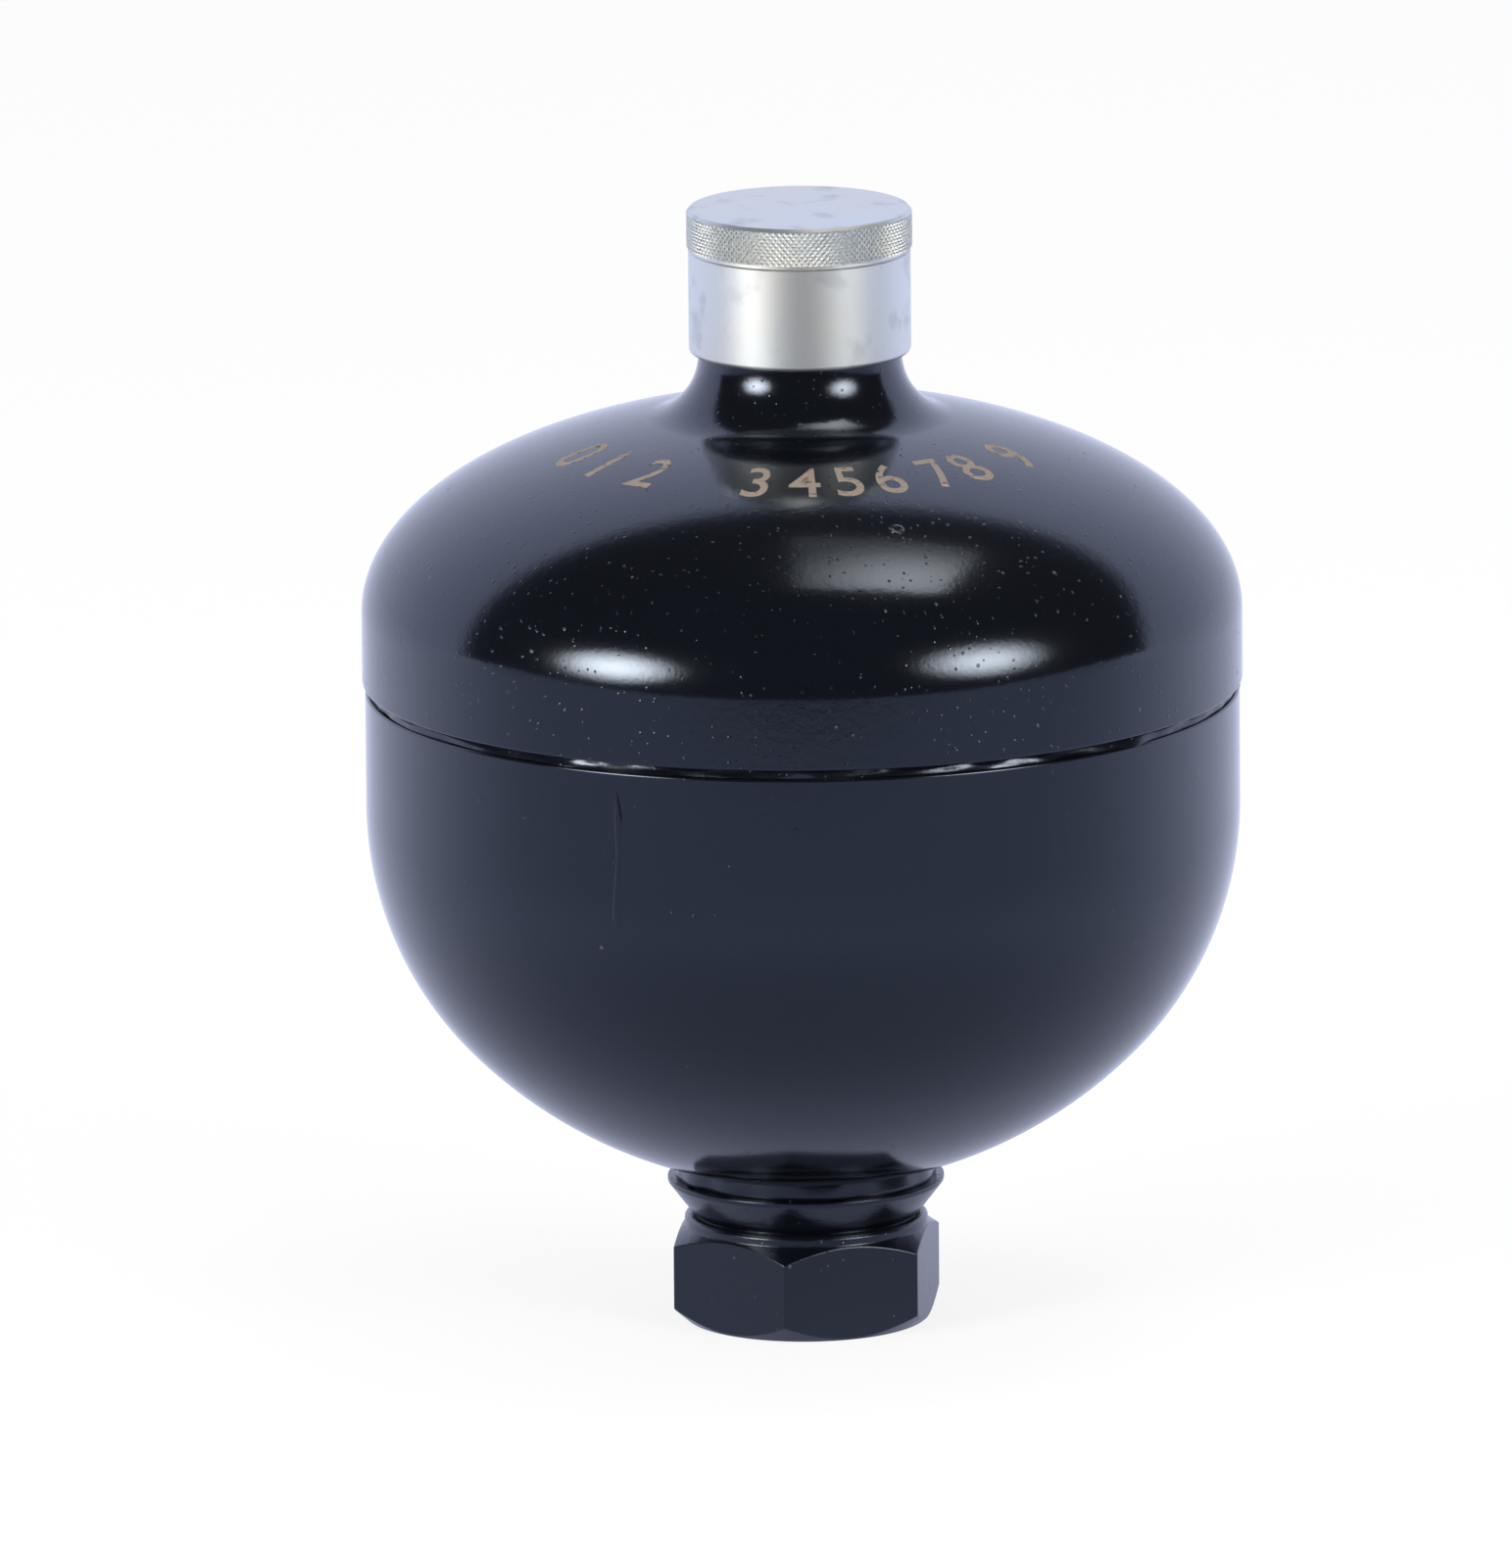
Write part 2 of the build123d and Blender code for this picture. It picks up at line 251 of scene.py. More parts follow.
body_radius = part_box("lower_shell")[1].x / MM
rim_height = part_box("lower_shell")[1].z / MM
wall = 5.0
rim_round = 0.4
bowl_tangent = rim_height - 16.1
knuckle_centre = 12.5
knuckle_radius = body_radius - knuckle_centre
crown_rise = 12.1
crown_centre = bowl_tangent + crown_rise
crown_radius = knuckle_radius + hypot(knuckle_centre, crown_rise)
knuckle_angle = degrees(atan2(crown_rise, knuckle_centre))
spigot_radius = 12.0
ring_seat_radius = 55.9
ring_seat_depth = 8.0
ring_seat_height = rim_height - ring_seat_depth


def bowl_run(inset, from_radius):
    """The bowl's section from near the axis up to the top of its knuckle."""
    start = -degrees(acos(from_radius / (crown_radius - inset)))
    crown = arc(0, crown_centre, crown_radius - inset, start, -knuckle_angle, 22)
    return crown + arc(
        knuckle_centre, bowl_tangent, knuckle_radius - inset, -knuckle_angle, 0, 26
    )[1:]


outside = bowl_run(0, spigot_radius)
rim = arc(body_radius - rim_round, rim_height - rim_round, rim_round, 0, 90, 5)
seat = [
    (ring_seat_radius, rim_height),
    (ring_seat_radius, ring_seat_height),
    (body_radius - wall, ring_seat_height),
]
bowl = turned(
    "lower_shell_painted",
    outside + rim + seat + bowl_run(wall, spigot_radius)[::-1] + outside[:1],
    around=256,
)
smooth(bowl)
bowl_paint = black_paint("bowl_paint", roughness=0.11, peel=0.010, dust=0.02)
fit(bowl, bowl_paint, "vessel", "painted_shell", "lower_shell")

# Paint run: a thin sag of the black paint that ran down the bowl's front from the seam and
# ended in a drop.
run_azimuth = radians(-25 - 90)
run_top, run_end = rim_height - 2.5, rim_height - 22.5
bpy.ops.object.select_all(action="DESELECT")
bpy.ops.mesh.primitive_uv_sphere_add(segments=20, ring_count=60, radius=1)
run = bpy.context.object
run.name = run.data.name = "paint_run"
for point in run.data.vertices:
    across, out, along = point.co
    down = (1 - along) / 2
    width = 0.55 + 0.2 * sin(9 * down) + 0.5 * max(0, down - 0.8) / 0.2
    height = run_top + (run_end - run_top) * down
    lean = max(0, (bowl_tangent - height) / knuckle_radius)
    radius = knuckle_centre + knuckle_radius * sqrt(1 - lean**2) + 0.2 * out - 0.05
    angle = run_azimuth + (width * across + 0.25 * sin(5 * down)) / radius
    point.co = (radius * cos(angle) * MM, radius * sin(angle) * MM, height * MM)
smooth(run, 80)
fit(run, bowl_paint, "vessel", "painted_shell")


# Fluid port: one turned steel piece with a hexagon milled on its foot, a waist and a conical
# flange. Its spigot goes through the bowl, and its foot holds a pipe thread.
def milled(piece, flats, distance, turn):
    """Cuts flats on a piece, each at a distance in millimetres from the axis."""
    bpy.ops.object.mode_set(mode="EDIT")
    for n in range(flats):
        angle = radians(turn) + 2 * pi * n / flats
        facing = Vector((cos(angle), sin(angle), 0))
        bpy.ops.mesh.select_all(action="SELECT")
        bpy.ops.mesh.bisect(
            plane_co=facing * distance * MM, plane_no=facing, use_fill=True, clear_outer=True
        )
    bpy.ops.mesh.select_all(action="SELECT")
    bpy.ops.mesh.remove_doubles(threshold=0.0005 * MM)
    bpy.ops.mesh.normals_make_consistent(inside=False)
    bpy.ops.object.mode_set(mode="OBJECT")


def eased(piece, width):
    """Rounds a piece's sharp edges by a width in millimetres, and keeps its flats flat."""
    bpy.ops.object.select_all(action="DESELECT")
    piece.select_set(True)
    bpy.context.view_layer.objects.active = piece
    bevel = piece.modifiers.new("edges", "BEVEL")
    bevel.width = width * MM
    bevel.segments = 3
    bevel.limit_method = "ANGLE"
    bevel.angle_limit = radians(25)
    bevel.use_clamp_overlap = False
    bpy.ops.object.modifier_apply(modifier="edges")
    smooth(piece, 50)


def thread(name, root, crest, pitch, bottom, top):
    """A screw thread's rib, from its root radius to its crest radius, all in millimetres."""
    inward = -1 if crest < root else 1
    depth = abs(crest - root)
    sunk = 0.15
    foot = root - sunk * inward
    crest_half = 0.07 * pitch
    foot_half = crest_half + 0.577 * (depth + sunk)
    bpy.ops.object.select_all(action="DESELECT")
    bpy.ops.mesh.primitive_plane_add(size=2 * MM, rotation=(pi / 2, 0, 0))
    rib = bpy.context.object
    rib.name = rib.data.name = name
    bpy.ops.object.transform_apply(location=True, rotation=True, scale=True)
    for corner in rib.data.vertices:
        at_crest = corner.co.x > 0
        half = crest_half if at_crest else foot_half
        radius = crest if at_crest else foot
        corner.co = (radius * MM, 0, (bottom + (half if corner.co.z > 0 else -half)) * MM)
    bpy.ops.object.mode_set(mode="EDIT")
    bpy.ops.mesh.select_all(action="SELECT")
    bpy.ops.mesh.delete(type="ONLY_FACE")
    bpy.ops.object.mode_set(mode="OBJECT")
    screw = rib.modifiers.new("turns", "SCREW")
    screw.screw_offset = pitch * MM
    screw.iterations = int((top - bottom) / pitch)
    screw.steps = screw.render_steps = 96
    bpy.ops.object.modifier_apply(modifier="turns")
    bpy.ops.object.mode_set(mode="EDIT")
    bpy.ops.mesh.select_all(action="SELECT")
    bpy.ops.mesh.remove_doubles(threshold=0.0005 * MM)
    bpy.ops.mesh.fill_holes(sides=0)
    bpy.ops.mesh.select_all(action="SELECT")
    bpy.ops.mesh.normals_make_consistent(inside=False)
    bpy.ops.object.mode_set(mode="OBJECT")
    smooth(rib, 25)
    return rib


def joined(name, *pieces):
    """Several meshes made one piece."""
    bpy.ops.object.select_all(action="DESELECT")
    for piece in pieces:
        piece.select_set(True)
    bpy.context.view_layer.objects.active = pieces[0]
    bpy.ops.object.join()
    pieces[0].name = pieces[0].data.name = name
    return pieces[0]


hex_flat = 17.0
hex_corner = hex_flat / cos(radians(30))
hex_height = 13.9
front_corner = -99.0
port_root = 10.45
port_core = 9.32
port_pitch = 1.814
port_end = 15.0
port_mouth, port_mouth_depth = 11.2, 0.75
port_thread_low, port_thread_high = 1.6, 14.2
face_radius, hex_chamfer = 16.6, 2.6
fluid_bore = 4.5
shoulder_radius, shoulder_top = 16.75, 14.75
groove_radius = 15.1
waist_radius, waist_foot = 15.7, 15.05
flange_radius = 19.05
flange_edge, flange_top = 19.4, 20.05
spigot_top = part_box("port_adapter")[1].z / MM

foot = turned(
    "port_foot",
    [
        (port_mouth, 0),
        (face_radius, 0),
        (hex_corner, hex_chamfer),
        (hex_corner, hex_height - hex_chamfer),
        (shoulder_radius, hex_height - 0.6),
        (shoulder_radius, shoulder_top - 0.4),
        (shoulder_radius - 0.4, shoulder_top),
        (port_root, shoulder_top),
        (port_root, port_mouth_depth),
        (port_mouth, 0),
    ],
    around=180,
)
milled(foot, 6, hex_flat, front_corner + 30)
eased(foot, 0.15)
collar = turned(
    "port_collar",
    [
        (port_root, shoulder_top - 0.5),
        (groove_radius, shoulder_top - 0.5),
        (groove_radius, waist_foot),
        (waist_radius, waist_foot),
        (flange_radius, flange_edge),
        (flange_radius, flange_top),
        (spigot_radius, flange_top),
        (spigot_radius, spigot_top),
        (fluid_bore, spigot_top),
        (fluid_bore, port_end),
        (port_root, port_end),
        (port_root, shoulder_top - 0.5),
    ],
    around=180,
)
eased(collar, 0.14)
port_thread = thread(
    "port_thread", port_root, port_core, port_pitch, port_thread_low, port_thread_high
)
port = joined("port_adapter_painted", foot, collar, port_thread)
port_paint = black_paint("port_paint", roughness=0.2, peel=0.03, dust=0.1)
fit(port, port_paint, "vessel", "painted_port", "port_adapter")


# Weld of the port: a fillet run round the spigot, between the flange and the bowl, under the
# same paint. Its face is lumpy where the runs overlap.
def lumps(piece, size, tall, height, inner):
    """Moves points beyond an inner radius in and out of the axis by noise. In millimetres, size
    is the lumps' length round the axis, tall is along it, and height is how far they move."""
    for point in piece.data.vertices:
        radius = hypot(point.co.x, point.co.y)
        if radius < inner * MM:
            continue
        x, y, z = point.co / MM
        push = 1 + height * MM * noise.noise(Vector((x / size, y / size, z / tall))) / radius
        point.co.x *= push
        point.co.y *= push


def bowl_height(radius):
    """Height of the bowl's crown at a radius."""
    return crown_centre - sqrt(crown_radius**2 - radius**2)


fillet_radius = 17.2
fillet = turned(
    "port_weld_painted",
    [
        (spigot_radius, flange_top - 0.02),
        (fillet_radius + 0.7, flange_top - 0.02),
        (fillet_radius + 0.85, flange_top + 0.3),
        (fillet_radius + 0.85, flange_top + 0.8),
        (fillet_radius + 0.75, bowl_height(fillet_radius) - 0.1),
        (fillet_radius + 0.7, bowl_height(fillet_radius + 0.7) + 0.02),
        (spigot_radius, bowl_height(spigot_radius) + 0.02),
        (spigot_radius, flange_top),
    ],
    around=200,
)
lumps(fillet, 5.0, 5.0, 0.5, fillet_radius - 0.8)
smooth(fillet, 60)
weld_paint = black_paint("weld_paint", roughness=0.2, peel=0.02, dust=0.1)
fit(fillet, weld_paint, "vessel", "weld_metal", "port_weld")


# Closing button: a turned steel plate moulded under the diaphragm's floor. It shuts the port
# when the oil has been pushed out.
def bare_steel(name, colour, roughness, line_size):
    """Turned steel with fine rings from the tool and a little stain."""
    finish = Finish(name, {"Metallic": 1.0, "IOR": 2.0})
    across = finish.node("ShaderNodeVectorMath", {"operation": "LENGTH"}, {0: finish.place}, 1)
    lines = finish.node(
        "ShaderNodeTexNoise",
        {"noise_dimensions": "1D"},
        {"W": across / (line_size * MM), "Scale": 1.0, "Detail": 3.0},
    )
    stain = finish.noise(9, 4)
    dark = tuple(0.72 * channel for channel in colour) + (1,)
    finish.vary("Base Color", finish.mix(stain, colour + (1,), dark))
    finish.vary("Roughness", roughness + 0.12 * stain)
    finish.bump(0.012 * lines)
    return finish.material


def refinish(node, material):
    """Gives a CAD node, which stays as it is, a finer material."""
    piece = frame["nodes"][node]
    piece.data.materials.clear()
    piece.data.materials.append(material)


machined_steel = bare_steel("machined_steel", (0.56, 0.55, 0.53), 0.30, 0.35)
refinish("closing_button", machined_steel)


# Diaphragm: moulded nitrile rubber that follows the bowl, with a flat floor on the button and a
# thick bead at its edge. The bead stays clamped.
def nitrile(name):
    """Matt black rubber with the grain of its mould and a pale bloom."""
    finish = Finish(name, {"Specular IOR Level": 0.4})
    bloom = finish.noise(12, 4)
    grain = finish.noise(0.5, 2)
    finish.vary("Base Color", finish.mix(bloom, (0.012, 0.012, 0.013, 1), (0.03, 0.03, 0.031, 1)))
    finish.vary("Roughness", 0.5 + 0.2 * bloom)
    finish.bump(0.02 * grain)
    return finish.material


diaphragm_inset = wall + 0.35
diaphragm_wall = 2.4
button_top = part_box("closing_button")[1].z / MM
pad_radius = sqrt((crown_radius - diaphragm_inset) ** 2 - (crown_centre - button_top) ** 2)
floor_radius = sqrt(
    (crown_radius - diaphragm_inset - diaphragm_wall) ** 2
    - (crown_centre - button_top - diaphragm_wall) ** 2
)
clamp_radius, ring_bore = 49.4, 54.4
bead_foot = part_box("clamp_ring")[0].z / MM - 1.7
bead_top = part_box("clamp_ring")[1].z / MM
under = bowl_run(diaphragm_inset, pad_radius)
over = bowl_run(diaphragm_inset + diaphragm_wall, floor_radius)
wall_top = bead_foot + 0.4
membrane = turned(
    "diaphragm_wall",
    [(0, button_top)]
    + under
    + [(under[-1][0], wall_top), (over[-1][0], wall_top)]
    + over[::-1]
    + [(0, button_top + diaphragm_wall)],
    around=160,
)
smooth(membrane)
rubber = nitrile("nitrile_rubber")
fit(membrane, rubber, "vessel", "nitrile", "diaphragm")
bead_round = 0.9
bead = turned(
    "diaphragm_bead",
    arc(ring_bore - bead_round, bead_foot + bead_round, bead_round, 0, -90, 5)
    + arc(clamp_radius + bead_round, bead_foot + bead_round, bead_round, -90, -180, 5)
    + arc(clamp_radius + bead_round, bead_top - bead_round, bead_round, 180, 90, 5)
    + arc(ring_bore - bead_round, bead_top - bead_round, bead_round, 90, 0, 5)
    + [(ring_bore, bead_foot + bead_round)],
    around=160,
)
smooth(bead)
fit(bead, rubber, "vessel", "nitrile")
lift = next(joint for joint in frame["joints"] if joint["name"] == "button_lift")["range_m"][1]
full_drop = bead_top * MM - button_top * MM
1 - lift / full_drop
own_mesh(membrane)

# Backing ring and clamp ring: turned steel. The backing ring bridges the seam inside, and the
# clamp ring presses the diaphragm's bead out against it.
refinish("backing_ring", machined_steel)
refinish("clamp_ring", machined_steel)

# Upper half of the shell: a shallow dome, drawn with a neck in its middle. The neck is bored and
# counterbored for the charging screw, and threaded outside for the cap.
dome_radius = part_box("upper_shell")[1].x / MM
dome_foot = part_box("upper_shell")[0].z / MM
neck_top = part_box("upper_shell")[1].z / MM
dome_tangent = dome_foot + 9.8
dome_rise = 29.0
neck_radius = 14.0
neck_fillet = 8.8
neck_root = 13.08
neck_crest = 13.96
neck_pitch = 1.5
neck_shoulder, root_foot, root_top = 138.4, 139.3, 150.6
rib_foot = 139.9
counterbore_radius, counterbore_foot = 8.9, neck_top - 7.8
screw_hole = 6.0
fillet_centre = neck_radius + neck_fillet
fillet_share = sqrt(1 - (fillet_centre / dome_radius) ** 2)
dome_slope = dome_rise * fillet_centre / (dome_radius**2 * fillet_share)
fillet_height = dome_tangent + dome_rise * fillet_share + neck_fillet * hypot(1, dome_slope)
lean = degrees(atan2(dome_slope, 1))
dome_end = degrees(acos((fillet_centre - neck_fillet * sin(radians(lean))) / dome_radius))
inner_radius, inner_rise = dome_radius - wall, dome_rise - wall
inner_start = degrees(acos(screw_hole / inner_radius))


def dome_height(radius):
    """Height of the dome's outside at a radius."""
    return dome_tangent + dome_rise * sqrt(1 - (radius / dome_radius) ** 2)


dome_section = (
    arc(dome_radius - rim_round, dome_foot + rim_round, rim_round, -90, 0, 5)
    + arc(0, dome_tangent, dome_radius, 0, dome_end, 56, dome_rise)
    + arc(fillet_centre, fillet_height, neck_fillet, -90 - lean, -180, 26)[1:]
    + [
        (neck_radius, neck_shoulder),
        (neck_root, root_foot),
        (neck_root, root_top),
        (neck_radius - 1.1, neck_top),
        (counterbore_radius, neck_top),
        (counterbore_radius, counterbore_foot),
        (screw_hole, counterbore_foot),
    ]
    + arc(0, dome_tangent, inner_radius, inner_start, 0, 40, inner_rise)
    + [
        (inner_radius, dome_foot + ring_seat_depth),
        (ring_seat_radius, dome_foot + ring_seat_depth),
        (ring_seat_radius, dome_foot),
        (dome_radius - rim_round, dome_foot),
    ]
)
dome = turned("upper_shell_painted", dome_section, around=256)
smooth(dome)
neck_thread = thread("neck_thread", neck_root, neck_crest, neck_pitch, rib_foot, root_top)
dome = joined("upper_shell_painted", dome, neck_thread)
crater_place = (0.013, -0.0421, 0.1196)
dome_paint = black_paint("dome_paint", roughness=0.11, peel=0.010, dust=0.25, nick=crater_place)
fit(dome, dome_paint, "vessel", "painted_shell", "upper_shell")

# Seam weld: the bead that closes the two halves, sunk in the gap between their rims. It was run
# by hand in short lengths, so it is ragged, and it shines where the paint lies thick on it.
bead_foot_radius, bead_head_radius = 59.75, 59.05
bead_limit = 60.35
weld_low, weld_high = rim_height - 0.3, dome_foot + 0.2
bead_steps = 12
bead_face = [
    (
        bead_foot_radius + (bead_head_radius - bead_foot_radius) * n / bead_steps,
        weld_low + (weld_high - weld_low) * n / bead_steps,
    )
    for n in range(bead_steps + 1)
]
seam = turned(
    "seam_weld_painted",
    [(ring_seat_radius, weld_low)]
    + bead_face
    + [(ring_seat_radius, weld_high), (ring_seat_radius, weld_low)],
    around=900,
)
lumps(seam, 14.0, 14.0, 1.0, ring_seat_radius + 1)
lumps(seam, 5.0, 1.1, 0.35, ring_seat_radius + 1)
for point in seam.data.vertices:
    radius = hypot(point.co.x, point.co.y) / MM
    if radius > bead_limit:
        point.co.x *= bead_limit / radius
        point.co.y *= bead_limit / radius
smooth(seam, 80)
fit(seam, weld_paint, "vessel", "weld_metal", "seam_weld")

# Charging screw and its seal: a steel screw with a hexagon socket shuts the gas side, on a
# rubber lip inside a steel washer. The cap hides them.
refinish("charging_screw", machined_steel)
refinish("seal_washer", machined_steel)
refinish("seal_lip", rubber)


# Protective cap: turned steel with a knurled band, a groove and a plain skirt, plated with
# zinc. It screws down over the neck, onto a rubber disc in its crown.
def knurled(name, crest, root, bottom, top, around, rows):
    """A band of crossed knurling: pointed diamonds in staggered rows."""
    bpy.ops.object.select_all(action="DESELECT")
    bpy.ops.mesh.primitive_cylinder_add(
        vertices=2 * around, radius=crest * MM, depth=(top - bottom) * MM, end_fill_type="NOTHING",
        location=(0, 0, (top + bottom) / 2 * MM),
    )
    band = bpy.context.object
    band.name = band.data.name = name
    bpy.ops.object.transform_apply(location=True, rotation=True, scale=True)
    bpy.ops.object.mode_set(mode="EDIT")
    bpy.ops.mesh.select_mode(type="EDGE")
    bpy.ops.mesh.select_all(action="DESELECT")
    bpy.ops.object.mode_set(mode="OBJECT")
    for edge in band.data.edges:
        ends = [band.data.vertices[n].co for n in edge.vertices]
        edge.select = abs(ends[0].z - ends[1].z) > MM
    bpy.ops.object.mode_set(mode="EDIT")
    bpy.ops.mesh.subdivide(number_cuts=rows - 1)
    bpy.ops.mesh.select_mode(type="VERT")
    bpy.ops.mesh.select_all(action="DESELECT")
    bpy.ops.object.mode_set(mode="OBJECT")
    for point in band.data.vertices:
        column = round(atan2(point.co.y, point.co.x) / (pi / around))
        row = round((point.co.z / MM - bottom) / (top - bottom) * rows)
        if (column + row) % 2:
            point.co.x *= root / crest
            point.co.y *= root / crest
    bpy.ops.object.mode_set(mode="EDIT")
    bpy.ops.mesh.select_all(action="SELECT")
    bpy.ops.mesh.quads_convert_to_tris(quad_method="SHORTEST_DIAGONAL")
    bpy.ops.mesh.select_all(action="DESELECT")
    bpy.ops.mesh.select_non_manifold()
    bpy.ops.mesh.extrude_region_move()
    inwards = (root - 0.4) / crest
    bpy.ops.transform.resize(value=(inwards, inwards, 1), center_override=(0, 0, 0))
    bpy.ops.mesh.select_all(action="SELECT")
    bpy.ops.mesh.normals_make_consistent(inside=False)
    bpy.ops.object.mode_set(mode="OBJECT")
    return band


def zinc_plate(name, roughness, tone):
    """Bright zinc over turned steel, with a faint blue and yellow bloom and handling smudges."""
    finish = Finish(name, {"Metallic": 1.0, "IOR": 2.0})
    across = finish.node("ShaderNodeSeparateXYZ", {}, {"Vector": finish.place}, 2)
    lines = finish.node(
        "ShaderNodeTexNoise",
        {"noise_dimensions": "1D"},
        {"W": across / (0.25 * MM), "Scale": 1.0, "Detail": 3.0},
    )
    bloom = finish.step(finish.noise(14, 3), 0.35, 0.65)
    smudge = 0.7 * finish.step(finish.noise(6, 5), 0.54, 0.68)
    bluish, yellowish, dull = [
        tuple(tone * channel for channel in colour) + (1,)
        for colour in ((0.69, 0.72, 0.73), (0.72, 0.72, 0.69), (0.55, 0.57, 0.58))
    ]
    plated = finish.mix(bloom, bluish, yellowish)
    finish.vary("Base Color", finish.mix(smudge, plated, dull))
    finish.vary("Roughness", roughness + 0.06 * smudge)
    finish.bump(0.006 * lines)
    return finish.material


cap_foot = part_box("protective_cap")[0].z / MM
cap_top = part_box("protective_cap")[1].z / MM
knurl_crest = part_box("protective_cap")[1].x / MM
skirt_radius = knurl_crest - 0.3
cap_bore = 14.06
cap_ceiling = cap_top - 2.6
knurl_foot = cap_top - 5.2
knurl_columns, knurl_rows = 120, 10
edge_break = 0.5
foot_round = 0.7
cap_body = turned(
    "cap_body",
    [(0, cap_top), (knurl_crest - edge_break - 0.1, cap_top)]
    + [(knurl_crest - edge_break, cap_top - 0.04), (knurl_crest - 0.1, cap_top - edge_break)]
    + [(skirt_radius - 0.1, cap_top - edge_break - 0.06), (skirt_radius - 0.1, knurl_foot + 0.05)]
    + [(skirt_radius - 0.25, knurl_foot), (skirt_radius - 0.25, knurl_foot - 0.5)]
    + [(skirt_radius - 0.08, knurl_foot - 0.6), (skirt_radius, knurl_foot - 0.72)]
    + arc(skirt_radius - foot_round, cap_foot + foot_round, foot_round, 0, -90, 7)
    + [(cap_bore, cap_foot), (cap_bore, cap_ceiling), (0, cap_ceiling)],
    around=200,
)
smooth(cap_body, 28)
knurl = knurled(
    "cap_knurl",
    crest=knurl_crest - 0.02,
    root=skirt_radius,
    bottom=knurl_foot + 0.02,
    top=cap_top - edge_break,
    around=knurl_columns,
    rows=knurl_rows,
)
fit(cap_body, zinc_plate("zinc_turned", 0.47, tone=0.98), "cap", "zinc_plate", "protective_cap")
# Painted light: the knurl has the same zinc as the skirt, its colour made 1.2 times lighter for the
# lamps that its facets catch.
fit(knurl, zinc_plate("zinc_knurled_painted_light", 0.42, tone=1.2), "cap", "zinc_plate")
refinish("cap_gasket", rubber)

# Stamped marks: plain digits struck into the dome before painting, whose strokes have been
# rubbed back to the primer.
digit_height = 8.0
digit_ring = 32.4
digit_narrowing, digit_flattening = 0.78, 0.95
digit_proud, digit_sunk = 0.03, 0.2
digit_places = [
    ("0", -67), ("1", -54), ("2", -39),
    ("3", -10.5), ("4", 1), ("5", 11.5), ("6", 21.5),
    ("7", 35), ("8", 45), ("9", 62),
]
stamped = []
for digit, azimuth in digit_places:
    bpy.ops.object.select_all(action="DESELECT")
    bpy.ops.object.text_add()
    text = bpy.context.object
    text.data.body = digit
    text.data.align_x = "CENTER"
    text.data.offset = 0.006
    text.data.resolution_u = 6
    bpy.ops.object.convert(target="MESH")
    mark = bpy.context.object
    mark.name = "digit_" + digit
    tall = max(point.co.y for point in mark.data.vertices)
    bpy.ops.object.mode_set(mode="EDIT")
    bpy.ops.mesh.select_all(action="SELECT")
    bpy.ops.mesh.remove_doubles(threshold=0.0001)
    bpy.ops.mesh.quads_convert_to_tris()
    bpy.ops.mesh.subdivide(number_cuts=5)
    bpy.ops.mesh.extrude_region_move(TRANSFORM_OT_translate={"value": (0, 0, 0.02)})
    bpy.ops.mesh.select_all(action="SELECT")
    bpy.ops.mesh.normals_make_consistent(inside=False)
    bpy.ops.object.mode_set(mode="OBJECT")
    scale = digit_height / tall
    for point in mark.data.vertices:
        up = digit_height / 2 - point.co.y * scale
        radius = digit_ring + digit_flattening * up
        angle = radians(azimuth - 90) + digit_narrowing * point.co.x * scale / digit_ring
        height = dome_height(radius) + (digit_proud if point.co.z > 0.01 else -digit_sunk)
        point.co = (radius * cos(angle) * MM, radius * sin(angle) * MM, height * MM)
    stamped.append(mark)
marks = joined("stamped_digits", *stamped)


def rubbed_primer(name):
    """Tan primer in the strokes, with paint left in patches."""
    finish = Finish(name, {})
    worn = finish.step(finish.noise(1.1, 3), 0.28, 0.45)
    finish.vary("Base Color", finish.mix(worn, (0.006, 0.007, 0.011, 1), (0.30, 0.24, 0.20, 1)))
    finish.vary("Roughness", 0.35 + 0.3 * worn)
    finish.bump(0.05 * finish.noise(0.4, 2))
    return finish.material


fit(marks, rubbed_primer("rubbed_primer"), "vessel", "painted_shell")

# Floor: a plain pale table that ends a little in front of the vessel. The camera sees it as white,
# with the vessel's soft shadow. In reflections it shows a painted shadow round the vessel's foot.
table_size = 6
table_front = -0.535
table_middle = table_front + table_size / 2
bpy.ops.object.select_all(action="DESELECT")
bpy.ops.mesh.primitive_plane_add(size=table_size, location=(0, table_middle, -0.00002))
table = bpy.context.object
table.name = "floor"
table_finish = bpy.data.materials.new("table_white")
table_finish.use_nodes = True
paper = Nodes(table_finish.node_tree)
paper.tree.nodes.remove(paper.tree.nodes["Principled BSDF"])
rays = {"glossy": "Is Glossy Ray", "camera": "Is Camera Ray", "clear": "Is Transmission Ray"}
glossy, seen, clear = [paper.node("ShaderNodeLightPath", {}, {}, ray) for ray in rays.values()]
spot = paper.node("ShaderNodeTexCoord", {}, {}, "Object")
beyond = paper.node("ShaderNodeSeparateXYZ", {}, {"Vector": spot}, 1) + table_middle
from_axis = paper.node("ShaderNodeVectorMath", {}, {0: spot, 1: (0, table_middle, 0)})
away = paper.node("ShaderNodeVectorMath", {"operation": "LENGTH"}, {0: from_axis}, 1)
# Painted shadow: in reflections the table is dark close to the axis and lighter away from it, as
# the vessel's shadow; the part behind the vessel shows bluish white.
painted_shadow_near = paper.mix(paper.step(away, 0.05, 0.2), (0.13, 0.15, 0.21, 1), (0.48, 0.52, 0.69, 1))
mirrored = paper.mix(paper.step(beyond, -0.25, 0.25), painted_shadow_near, (0.94, 1.0, 1.30, 1))
white = paper.mix(glossy, (1.1, 1.1, 1.1, 1), mirrored)
glow = paper.node("ShaderNodeEmission", {}, {"Color": white, "Strength": 1.0})
matt = paper.node("ShaderNodeBsdfDiffuse", {}, {"Color": (0.86, 0.86, 0.87, 1)})
glowing = glossy + 0.75 * (seen + clear)
shown = paper.node("ShaderNodeMixShader", {}, {0: glowing, 1: matt, 2: glow})
paper.feed(paper.tree.nodes["Material Output"].inputs["Surface"], shown)
table.data.materials.append(table_finish)


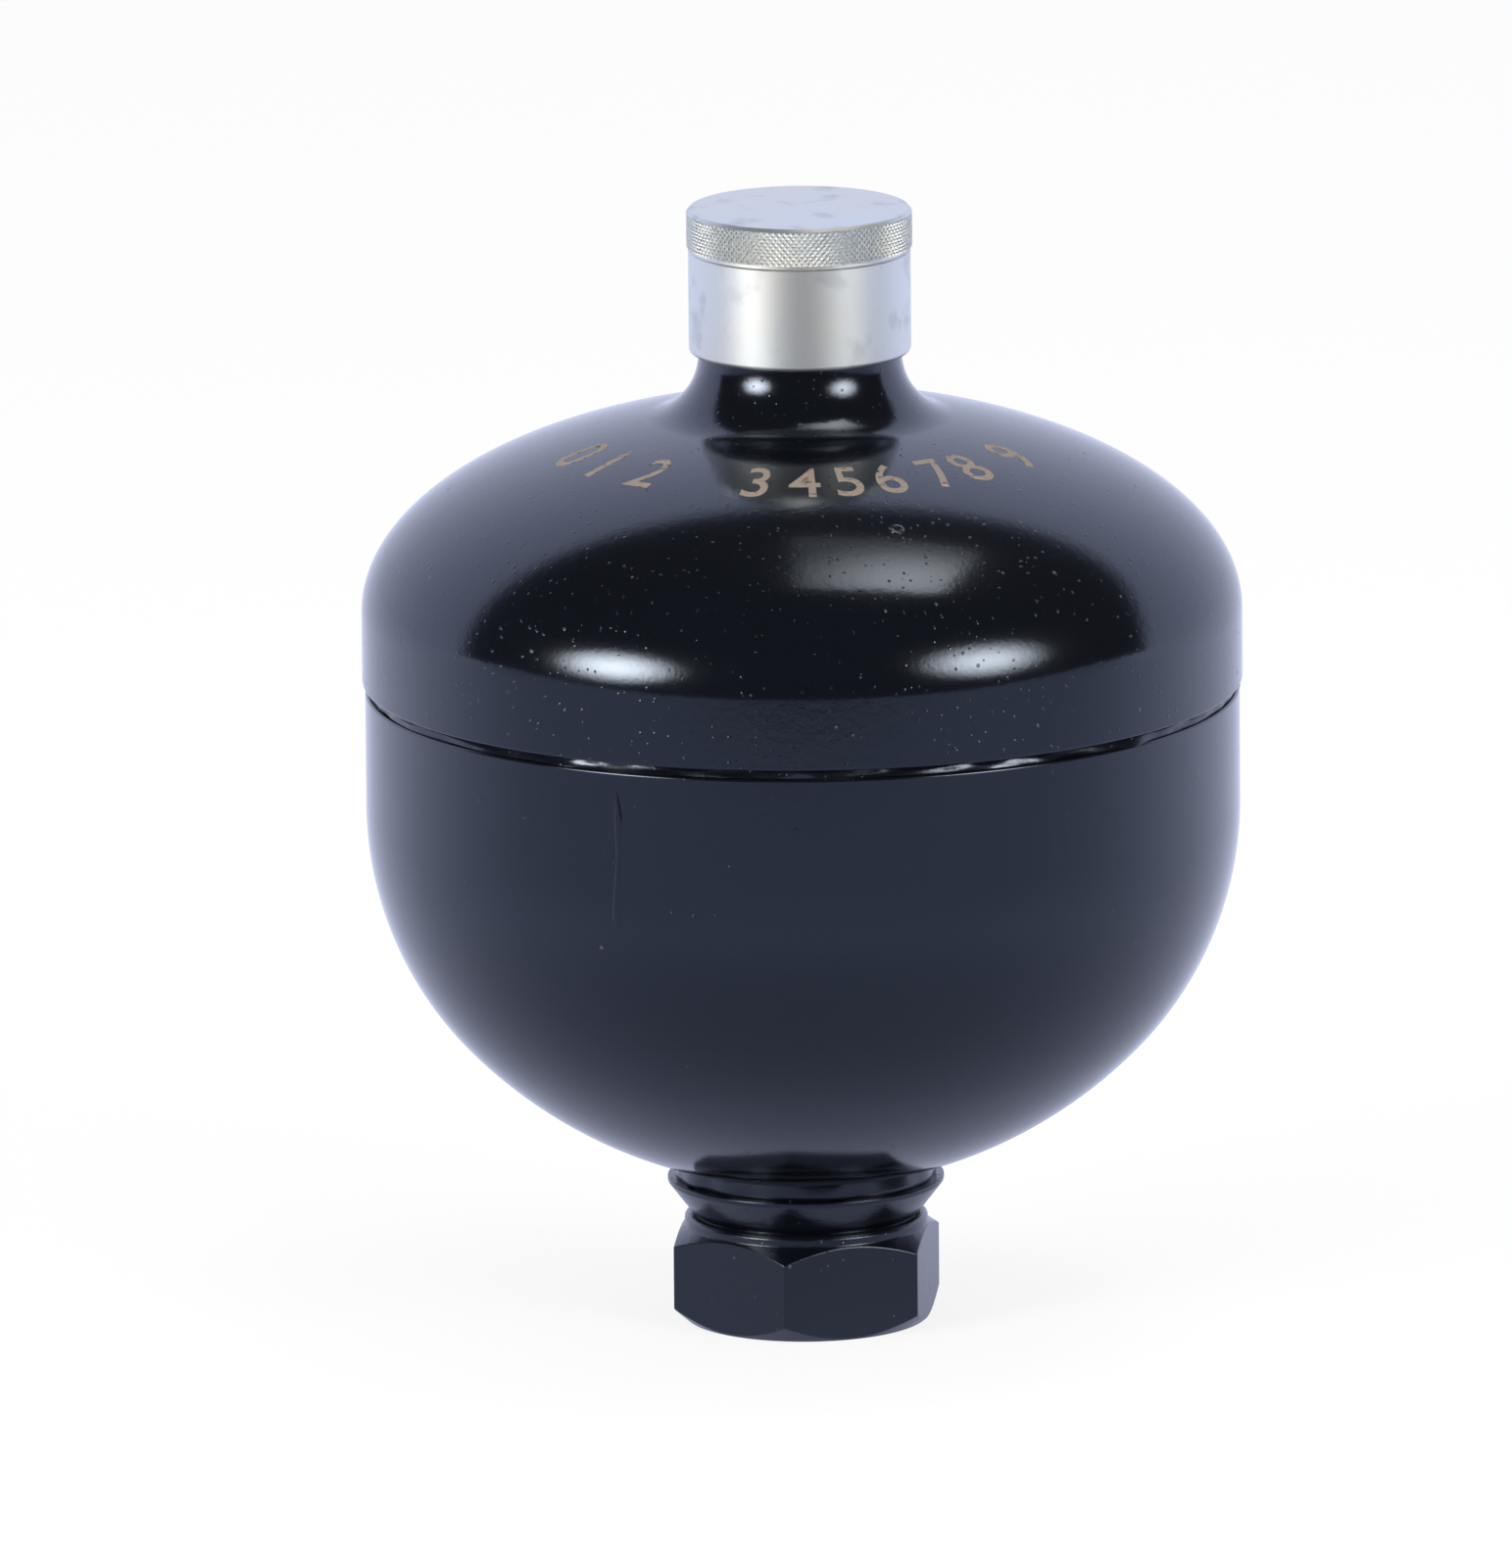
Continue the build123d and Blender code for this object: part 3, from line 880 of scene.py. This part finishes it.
# Lamps: a softbox on each side in front, hot in its middle, and a dim panel that hangs over the
# vessel, brightest at its near right corner.
def glow_panel(name, place, turn, size, core, edge, hot, spread):
    """A glowing panel. It is core bright at its hot point, and edge bright a spread away from
    there."""
    bpy.ops.object.select_all(action="DESELECT")
    bpy.ops.mesh.primitive_plane_add(size=1)
    panel = bpy.context.object
    panel.name = name
    panel.rotation_euler = turn
    panel.location = place
    panel.scale = (size[0], size[1], 1)
    panel.visible_camera = False
    glow = bpy.data.materials.new(name)
    glow.use_nodes = True
    lamp = Nodes(glow.node_tree)
    lamp.tree.nodes.remove(lamp.tree.nodes["Principled BSDF"])
    spot = lamp.node("ShaderNodeTexCoord", {}, {}, "Object")
    moved = lamp.node("ShaderNodeVectorMath", {"operation": "SUBTRACT"}, {0: spot, 1: hot + (0,)})
    out = lamp.node("ShaderNodeVectorMath", {"operation": "LENGTH"}, {0: moved}, 1)
    strength = edge + (core - edge) * (1 - lamp.step(out, 0.04, spread))
    inputs = {"Color": (1.0, 0.98, 0.92, 1), "Strength": strength}
    light = lamp.node("ShaderNodeEmission", {}, inputs)
    lamp.feed(lamp.tree.nodes["Material Output"].inputs["Surface"], light)
    panel.data.materials.append(glow)


def softbox(name, azimuth, elevation, size, core):
    """A lamp that faces the vessel; azimuth runs to the right from the camera's side."""
    a, e = radians(azimuth), radians(elevation)
    towards = Vector((sin(a) * cos(e), -cos(a) * cos(e), sin(e)))
    distance = 1.2
    place = Vector((0, 0, seam_height)) + towards * distance
    turn = towards.to_track_quat("Z", "Y").to_euler()
    glow_panel(name, place, turn, size, core, edge=0.1, hot=(0, 0), spread=0.5)


softbox("softbox_left", -49.5, 14, (0.86, 0.72), core=20)
softbox("softbox_right", 49, 18, (0.86, 0.76), core=14)
glow_panel(
    "panel_above",
    place=(0.26, 0.16, 1.35),
    turn=(0, 0, 0),
    size=(0.56, 0.60),
    core=4.6,
    edge=0.5,
    hot=(0.2, -0.3),
    spread=0.85,
)

# Surround: white paper behind and beside the vessel and a dark room in front and above. The
# camera sees white all round.
world = bpy.data.worlds.new("studio")
world.use_nodes = True
bpy.context.scene.world = world
room = Nodes(world.node_tree)
way = room.node("ShaderNodeTexCoord", {}, {}, "Generated")
x, y = [room.node("ShaderNodeSeparateXYZ", {}, {"Vector": way}, n) for n in range(2)]
paper_edge = 0.575 + x * (0.135 - x * (0.413 + 0.123 * x))
paper_light = room.step(y - paper_edge, -0.04, 0.04)
reflected = room.mix(paper_light, (0.05, 0.05, 0.05, 1), (0.90, 0.97, 1.26, 1))
glossy, seen, clear = [room.node("ShaderNodeLightPath", {}, {}, ray) for ray in rays.values()]
lit = room.mix(glossy, (0.55, 0.56, 0.58, 1), reflected)
colour = room.mix(seen + clear, lit, (1, 1, 1, 1))
background = world.node_tree.nodes["Background"]
room.feed(background.inputs["Color"], colour)

view = bpy.context.scene.view_settings
view.view_transform = "Standard"
